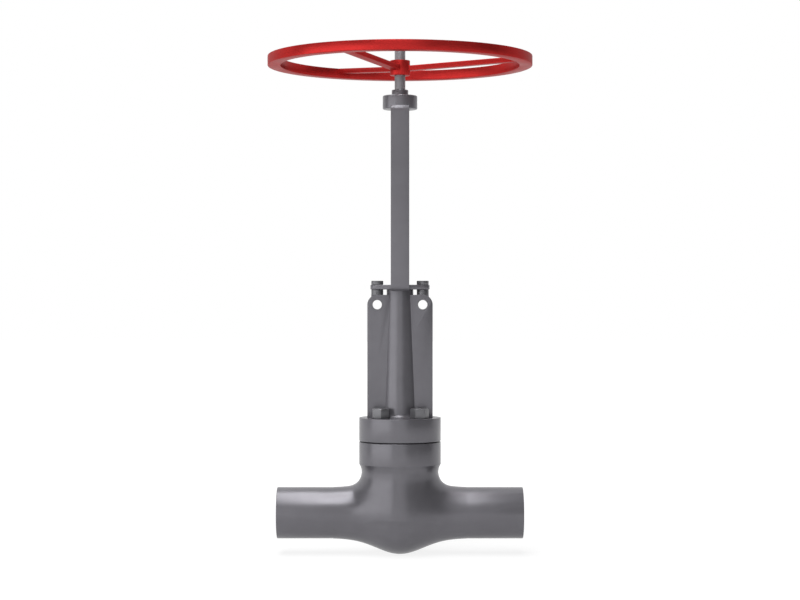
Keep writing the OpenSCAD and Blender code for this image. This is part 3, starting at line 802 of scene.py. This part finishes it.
class VALVE_OT_bolting(bpy.types.Operator):
    """Gasket and the four hexagon head bolts of the bonnet"""

    bl_idname = "valve.bolting"
    bl_label = "Bonnet bolting"

    def execute(self, context):
        s = sizes()
        seat, top, foot = RIB_LOW.z, BOLTS_HIGH.z, BOLTS_LOW.z
        half, corner = s.bolt_flats / 2, hex_corner(s.bolt_flats)
        head = slab("bolt", hexagon(s.bolt_flats, s.bolt_turn), seat, top)
        crown = turned("crown", [
            (0, seat - OVER), (half - 0.4, seat - 0.2), (corner + 0.2, seat + 1.2),
            (corner + 0.2, top - 1.9), (half - 0.6, top), (0, top + 0.001)], 96)
        carved(head, crown, operation="INTERSECT")
        softened(head, 0.18, 2, 25)
        shank = turned("shank", eased([
            (0, foot), (BOLT_SHANK, foot, 1.0), (BOLT_SHANK, seat + OVER), (0, seat + OVER)]), 48)
        bolt = joined([head, shank], "bolt")
        bolts = ringed([copied(bolt, "bolt_copy") for _ in range(3)] + [bolt])
        shown(joined(bolts, "bonnet_bolt_set"), paints["hardware"], "fasteners", "root", "bonnet_bolts")
        out, low, high = GASKET_HIGH.x, GASKET_LOW.z, GASKET_HIGH.z
        ring = [(out - GASKET_WIDTH, low), (out, low)]
        for i in range(GASKET_STEPS + 1):
            dip = GASKET_GROOVE if i % 2 else 0.0
            ring.append((out - GASKET_WIDTH * i / GASKET_STEPS, high - dip))
        gasket = turned("spiral_gasket", ring, closed=True)
        shown(gasket, paints["graphite"], "graphite", "root", "bonnet_gasket")
        repaint(paints["graphite"], *[f"packing_ring_{i}" for i in range(1, 6)])
        repaint(paints["trim"], "packing_washer", "seat_ring", "disc", "disc_nut")
        repaint(paints["bronze"], "gland_follower", "backseat_bushing")
        return {"FINISHED"}


def gland_outline(s, middle, end):
    """Two round ends and a round middle with straight tangents."""
    lean = math.degrees(math.acos((middle - end) / s.pin_x))
    return [*arc(s.pin_x, 0, end, -lean, lean, 24), *arc(0, 0, middle, lean, 180 - lean, 10),
            *arc(-s.pin_x, 0, end, 180 - lean, 180 + lean, 24), *arc(0, 0, middle, 180 + lean, 360 - lean, 10)]


class VALVE_OT_gland(bpy.types.Operator):
    """Gland flange, swing eyebolts, nuts and tubular hinge pins"""

    bl_idname = "valve.gland"
    bl_label = "Gland"

    def execute(self, context):
        s = sizes()
        low, high = GLAND_LOW.z, GLAND_HIGH.z
        below, above = low - OVER, high + OVER
        plate = slab("gland_plate", gland_outline(s, GLAND_HIGH.y, GLAND_END), low, high)
        softened(plate, 1.0, 3, 50)
        ways = [placed(rod("stud_way", STUD_WAY, below, above), shift=(side * s.pin_x, 0, 0))
                for side in (1, -1)]
        carved(plate, rod("stem_way", s.stem + 0.6, below, above, 96),
               rod("recess", s.box_bore, below, edges_of("gland_follower")[1].z, 96), *ways)
        shown(plate, paints["plate"], "forged_body", "root", "gland_flange")
        shoulder, foot, end = NUTS_HIGH.x - s.pin_x, RIB_HIGH.z, EYES_HIGH.z
        studs, nuts, pins = [], [], []
        for side in (1, -1):
            eye = placed(turned("eye", eased([
                (0, -EYE_HALF), (EYE, -EYE_HALF, 0.8), (EYE, EYE_HALF, 0.8), (0, EYE_HALF)]), 96),
                90, "X", (0, 0, PIN_Z))
            shank = box("shank", (-shoulder, -EYE_HALF, PIN_Z), (shoulder, EYE_HALF, foot + 0.3))
            collar = turned("collar", eased([
                (0, foot - 0.1), (shoulder, foot - 0.1), (shoulder, low, 0.5), (STUD, low),
                (STUD, end, 0.9), (0, end)]), 96)
            fused(eye, shank, collar)
            way = EYE_HALF + 2 * OVER
            carved(eye, placed(rod("eye_way", HINGE_PIN + FIT, -way, way, 72), 90, "X", (0, 0, PIN_Z)))
            nut = pipe("nut", NUT_BORE, shoulder, NUTS_LOW.z, NUTS_HIGH.z, 0.55, 96)
            pin = pipe("pin", s.pin_bore, HINGE_PIN, PINS_LOW.y, PINS_HIGH.y, 0.35, 72)
            studs.append(placed(eye, shift=(side * s.pin_x, 0, 0)))
            nuts.append(placed(nut, shift=(side * s.pin_x, 0, 0)))
            pins.append(placed(pin, 90, "X", (side * s.pin_x, 0, PIN_Z)))
        for pair, name, node in ((studs, "eyebolt_pair", "gland_eyebolts"), (nuts, "gland_nut_pair", "gland_nuts"),
                                 (pins, "hinge_pin_pair", "eyebolt_pins")):
            shown(joined(pair, name), paints["hardware"], "fasteners", "root", node)
        return {"FINISHED"}


def socket_screw(name, low, high):
    """A grub screw with a cup point and a hexagon socket in its top."""
    screw = turned(name, eased([
        (0, low + 0.6), (SCREW * 0.45, low), (SCREW, low + 0.8), (SCREW, high, 0.3), (0, high)]), 48)
    return carved(screw, slab("socket", hexagon(SCREW_SOCKET), high - 2.2, high + OVER))


class VALVE_OT_yoke(bpy.types.Operator):
    """Yoke arms, yoke head, bushing and its lock screw"""

    bl_idname = "valve.yoke"
    bl_label = "Yoke"

    def execute(self, context):
        s = sizes()
        box_top, out, half, top = BONNET_HIGH.z, ARM_HIGH.y, ARM_HIGH.x, ARM_HIGH.z
        low, high, head = HEAD_LOW.z, HEAD_HIGH.z, HEAD_HIGH.x
        toe, toe_z = out - s.box, box_top - TONGUE_DEPTH
        bend, sweep = bend_over(s.arm_round, out - head)
        for side, node in ((1, "rear_yoke_arm"), (-1, "front_yoke_arm")):
            outline = [
                (ARM_INSIDE, box_top), (TONGUE, box_top), (TONGUE, toe_z),
                *arc(s.box, toe_z + toe, toe, 270, 360, 10),
                *arc(out - bend, top - s.arm_round, bend, 0, sweep, 6), (ARM_INSIDE, top)]
            arm = slab(node + "_bar", [(side * y, z) for y, z in outline], -half, half, "X")
            softened(arm, 0.7, 3, 60)
            carved(arm, rod("head_way", head + FIT, low - FIT, high, 160))
            shown(arm, paints["plate"], "forged_body", "root", node)
        ring = turned("yoke_ring", eased([
            (BUSHING + FIT, low), (head - HEAD_BEVEL, low, 0.3), (head, low + HEAD_BEVEL, 0.3),
            (head, high - HEAD_BEVEL, 0.3), (head - HEAD_BEVEL, high, 0.3), (BUSHING + FIT, high)]), closed=True)
        screw_z = (LOCK_LOW.z + LOCK_HIGH.z) / 2
        carved(ring, placed(rod("screw_way", SCREW_WAY, BUSHING - OVER, head + OVER), 90, "Y", (0, 0, screw_z)))
        shown(ring, paints["forged"], "forged_body", "root", "yoke_head")
        bore, collar = s.stem + FIT, BUSH_HIGH.x
        sleeve = turned("yoke_sleeve", eased([
            (bore, BUSH_LOW.z, 0.6), (BUSHING, BUSH_LOW.z, 0.6), (BUSHING, high), (collar, high),
            (collar, BUSH_HIGH.z, 1.0), (bore, BUSH_HIGH.z, 0.7)]), closed=True)
        shown(sleeve, paints["plate"], "bushing", "root", "yoke_bushing")
        screw = placed(socket_screw("lock_screw", LOCK_LOW.x, LOCK_HIGH.x), 90, "Y", (0, 0, screw_z))
        shown(screw, paints["trim"], "fasteners", "root", "bushing_lock_screw")
        return {"FINISHED"}


def thread_ridge(low, high, s):
    """The ridge of the stem's trapezoidal thread, one closed helix."""
    root, crest = THREAD_CORE - 0.3, s.stem - FIT
    section = [(root, -THREAD_ROOT_HALF), (crest, -THREAD_CREST_HALF),
               (crest, THREAD_CREST_HALF), (root, THREAD_ROOT_HALF)]
    points = [Vector((r, 0, z + low)) * MM for r, z in section]
    helix = chain("stem_thread", points + points[:1])
    leave()
    applied(helix, "SCREW", angle=math.tau, screw_offset=s.pitch * MM, iterations=int((high - low) / s.pitch),
            steps=40, render_steps=40, use_merge_vertices=True, merge_threshold=0.00001, use_smooth_shade=False)
    edit("DESELECT")
    bpy.ops.mesh.select_non_manifold()
    bpy.ops.mesh.edge_face_add()
    leave()
    return helix


class VALVE_OT_stem(bpy.types.Operator):
    """Stem with its head, backseat collar, screw thread and key seat"""

    bl_idname = "valve.stem"
    bl_label = "Stem"

    def execute(self, context):
        s = sizes()
        foot, top, collar = STEM_LOW.z, STEM_HIGH.z, STEM_HIGH.x
        low, high = HEAD_LOW.z - THREAD_BELOW_HEAD, BUSH_HIGH.z - 1.0
        head_top, flare = foot + HEAD_HEIGHT, s.stem - THREAD_CORE
        stem = turned("valve_stem", eased([
            (0, foot), (collar, foot, 0.6), (collar, head_top, 0.6), (s.stem, head_top, 1.2),
            (s.stem, COLLAR_LOW, 1.2), (collar, COLLAR_LOW, 0.6), (collar, COLLAR_HIGH, 0.3),
            (s.stem, COLLAR_HIGH + collar - s.stem),
            (s.stem, low), (THREAD_CORE, low + flare), (THREAD_CORE, high - flare), (s.stem, high),
            (s.stem, top, 1.0), (CENTRE, top), (CENTRE_DRILL, top - 2.6), (CENTRE_DRILL, top - 4.5),
            (0, top - 5.2)]), 96)
        seat, key_low, key_high = s.stem - KEY_DEPTH, HUB_HIGH.z - KEY_LENGTH, HUB_HIGH.z
        near, far = (seat, -KEY_HALF, key_low), (seat + KEY_HEIGHT, KEY_HALF, key_high)
        cut = (seat + KEY_HEIGHT + OVER, KEY_HALF, key_high)
        carved(stem, placed(box("key_seat", near, cut), KEY_TURN))
        stem = joined([stem, thread_ridge(low, high, s)], "valve_stem")
        shown(stem, paints["stem"], "stem_bar", "stem", "stem")
        key = softened(placed(box("wheel_key", near, far), KEY_TURN), 0.25)
        shown(key, paints["trim"], "fasteners", "stem", "handwheel_key")
        return {"FINISHED"}


class VALVE_OT_handwheel(bpy.types.Operator):
    """Handwheel rim, spokes, hub and set screw"""

    bl_idname = "valve.handwheel"
    bl_label = "Handwheel"

    def execute(self, context):
        s = sizes()
        inner, high = SPOKE_HIGH.x + FIT, RIM_HIGH.z
        rim = pipe("wheel_rim", inner, RIM_HIGH.x, RIM_LOW.z, high, 0.8, 256)
        shown(rim, paints["red"], "handwheel", "stem", "handwheel_rim")
        hub_r, hub_top = HUB_HIGH.x, HUB_HIGH.z
        hub = pipe("wheel_hub", s.stem + FIT, hub_r, HUB_LOW.z, hub_top, 0.7, 128)
        screw_z, half_way = hub_top - SET_SCREW_DROP, KEY_HALF + FIT
        key_way = placed(box("key_way", (s.stem - KEY_DEPTH, -half_way, hub_top - KEY_LENGTH),
                             (KEY_WAY, half_way, hub_top + OVER)), KEY_TURN)
        screw_way = placed(rod("set_screw_way", SCREW_WAY, KEY_WAY, hub_r + OVER), 90, "Y", (0, 0, screw_z))
        carved(hub, key_way, placed(screw_way, KEY_TURN))
        shown(hub, paints["red"], "handwheel", "stem", "handwheel_hub")
        slope = math.atan(SPOKE_RISE / (inner - hub_r))
        thick = SPOKE_THICK / 2
        drop = thick / math.cos(slope)
        near, far = hub_r + WELD_GAP, inner - WELD_GAP
        below, above, past_rim = 500, 800, 40
        for i in range(3):
            spoke = box("spoke", (-inner, -SPOKE_HALF, -thick), (past_rim, SPOKE_HALF, thick))
            softened(spoke, 0.6)
            placed(spoke, -math.degrees(slope), "Y")
            placed(spoke, shift=(inner, 0, high - drop))
            between = turned("tube", [(near, below), (far, below), (far, above), (near, above)], 256, closed=True)
            carved(spoke, between, operation="INTERSECT")
            placed(spoke, 120 * i)
            spoke.name = spoke.data.name = f"wheel_spoke_{i + 1}"
            shown(spoke, paints["red"], "handwheel", "stem", f"handwheel_spoke_{i + 1}")
        screw = socket_screw("set_screw", KEY_WAY + FIT, hub_r - FIT)
        placed(placed(screw, 90, "Y", (0, 0, screw_z)), KEY_TURN)
        shown(screw, paints["trim"], "fasteners", "stem", "handwheel_set_screw")
        return {"FINISHED"}


# Stage

WHITE = (1, 1, 1, 1)
LAMPS = {  # place and aim, width and height, all in metres
    "key": ((-2.2, -1.55, 0.62), (0, 0, 0.4), 3.4, 1.3),
    "front": ((0, -3.5, 1.3), (0, 0, 0.4), 2.4, 2.8),
    "top": ((-0.45, -1.2, 3.5), (-0.45, -1.2, 0.2), 1.7, 4.8),
}


def lamp(name, power, place, aim, width, height):
    """A soft panel lamp."""
    light = bpy.data.lights.new(name, "AREA")
    light.energy = power
    light.shape = "RECTANGLE"
    light.size, light.size_y = width, height
    obj = bpy.data.objects.new(name, light)
    bpy.context.scene.collection.objects.link(obj)
    obj.location = place
    obj.rotation_euler = (Vector(aim) - Vector(place)).to_track_quat("-Z", "Y").to_euler()


def one_for(nodes, *rays):
    """1 for the named kinds of ray and 0 for the rest."""
    path = nodes.node("ShaderNodeLightPath")
    first, *more = [Signal(nodes, path.outputs[ray]) for ray in rays]
    for other in more:
        first = first.larger(other)
    return first


def backdrop_share(nodes):
    """1 for camera rays all round, and for mirrored and refracted rays that go to the backdrop behind the valve."""
    aim = nodes.node("ShaderNodeTexCoord").outputs["Generated"]
    split = nodes.node("ShaderNodeSeparateXYZ", None, {0: aim})
    behind = Signal(nodes, split.outputs["Y"]).between(0.1, 0.4)
    return one_for(nodes, "Is Camera Ray").larger(
        one_for(nodes, "Is Glossy Ray", "Is Transmission Ray") * behind)


def pale_floor():
    """A material that shows white to camera, mirrored and refracted rays, and a faint shadow near the valve."""
    s = Shader("pale_floor")
    s.paint(Base_Color=(0.62, 0.62, 0.62, 1), Roughness=0.9, Specular_IOR_Level=0.1)
    glow = s.node("ShaderNodeEmission", None, {"Color": WHITE, "Strength": 1.2})
    away = s.node("ShaderNodeVectorMath", {"operation": "LENGTH"}, {0: s.place}).outputs["Value"]
    beside = 0.72  # share of the glow right under the valve
    share = Signal(s, away).between(0.2, 1.4) * (1 - beside) + beside
    seen = one_for(s, "Is Camera Ray", "Is Glossy Ray", "Is Transmission Ray") * share
    mix = s.node("ShaderNodeMixShader", None, {0: seen, 1: s.surface.outputs[0], 2: glow.outputs[0]})
    s.feed(s.tree.nodes["Material Output"], {"Surface": mix.outputs[0]})
    return s.material


class VALVE_OT_stage(bpy.types.Operator):
    """Pale floor, white background, soft lamps and the camera"""

    bl_idname = "valve.stage"
    bl_label = "Stage"

    def execute(self, context):
        scene = context.scene
        studio = scene.valve_studio
        scene.view_settings.view_transform = "Standard"
        bpy.ops.object.select_all(action="DESELECT")
        bpy.ops.mesh.primitive_plane_add(size=30, location=(0, 0, BODY_LOW.z * MM))
        floor = context.object
        floor.name = "floor"
        floor.data.materials.append(pale_floor())
        world = bpy.data.worlds.new("studio")
        scene.world = world
        world.use_nodes = True
        sky = Nodes(world.node_tree)
        plain = sky.tree.nodes["Background"]
        sky.feed(plain, {"Color": WHITE, "Strength": studio.fill})
        white = sky.node("ShaderNodeBackground", None, {"Color": WHITE, "Strength": 1.0})
        blend = sky.node("ShaderNodeMixShader", None, {
            0: backdrop_share(sky), 1: plain.outputs[0], 2: white.outputs[0]})
        sky.feed(sky.tree.nodes["World Output"], {"Surface": blend.outputs[0]})
        for name, panel in LAMPS.items():
            lamp(name + "_lamp", getattr(studio, name), *panel)
        camera = bpy.data.cameras.new("camera")
        camera.lens = studio.lens
        camera.sensor_width = 36
        obj = bpy.data.objects.new("camera", camera)
        scene.collection.objects.link(obj)
        obj.location = (0, -studio.distance, studio.height)
        obj.rotation_euler = (math.pi / 2, 0, 0)
        scene.camera = obj
        return {"FINISHED"}


class VALVE_PT_panel(bpy.types.Panel):
    """Sidebar panel that lists the sizes, the finishes and the steps"""

    bl_label = "Globe Valve"
    bl_idname = "VALVE_PT_panel"
    bl_space_type = "VIEW_3D"
    bl_region_type = "UI"
    bl_category = "Globe Valve"

    def draw(self, context):
        for name in GROUPS:
            group = getattr(context.scene, name)
            part = self.layout.box()
            for key in group.__annotations__:
                part.prop(group, key)
        for step in STEPS:
            self.layout.operator(step.bl_idname)


STEPS = (
    VALVE_OT_body, VALVE_OT_bonnet, VALVE_OT_ribs, VALVE_OT_bolting, VALVE_OT_gland,
    VALVE_OT_yoke, VALVE_OT_stem, VALVE_OT_handwheel, VALVE_OT_stage,
)
GROUPS = {"valve_sizes": ValveSizes, "valve_finishes": ValveFinishes, "valve_studio": ValveStudio}
CLASSES = (*GROUPS.values(), *STEPS, VALVE_PT_panel)


def register():
    """Adds the panel, its properties and the steps to Blender."""
    for cls in CLASSES:
        bpy.utils.register_class(cls)
    for name, group in GROUPS.items():
        setattr(bpy.types.Scene, name, PointerProperty(type=group))


def unregister():
    """Takes them out again."""
    for name in GROUPS:
        delattr(bpy.types.Scene, name)
    for cls in reversed(CLASSES):
        bpy.utils.unregister_class(cls)


def main():
    """Builds the valve step by step."""
    register()
    make_paints()
    for step in STEPS:
        group, name = step.bl_idname.split(".")
        getattr(getattr(bpy.ops, group), name)()


if __name__ == "__main__":
    main()
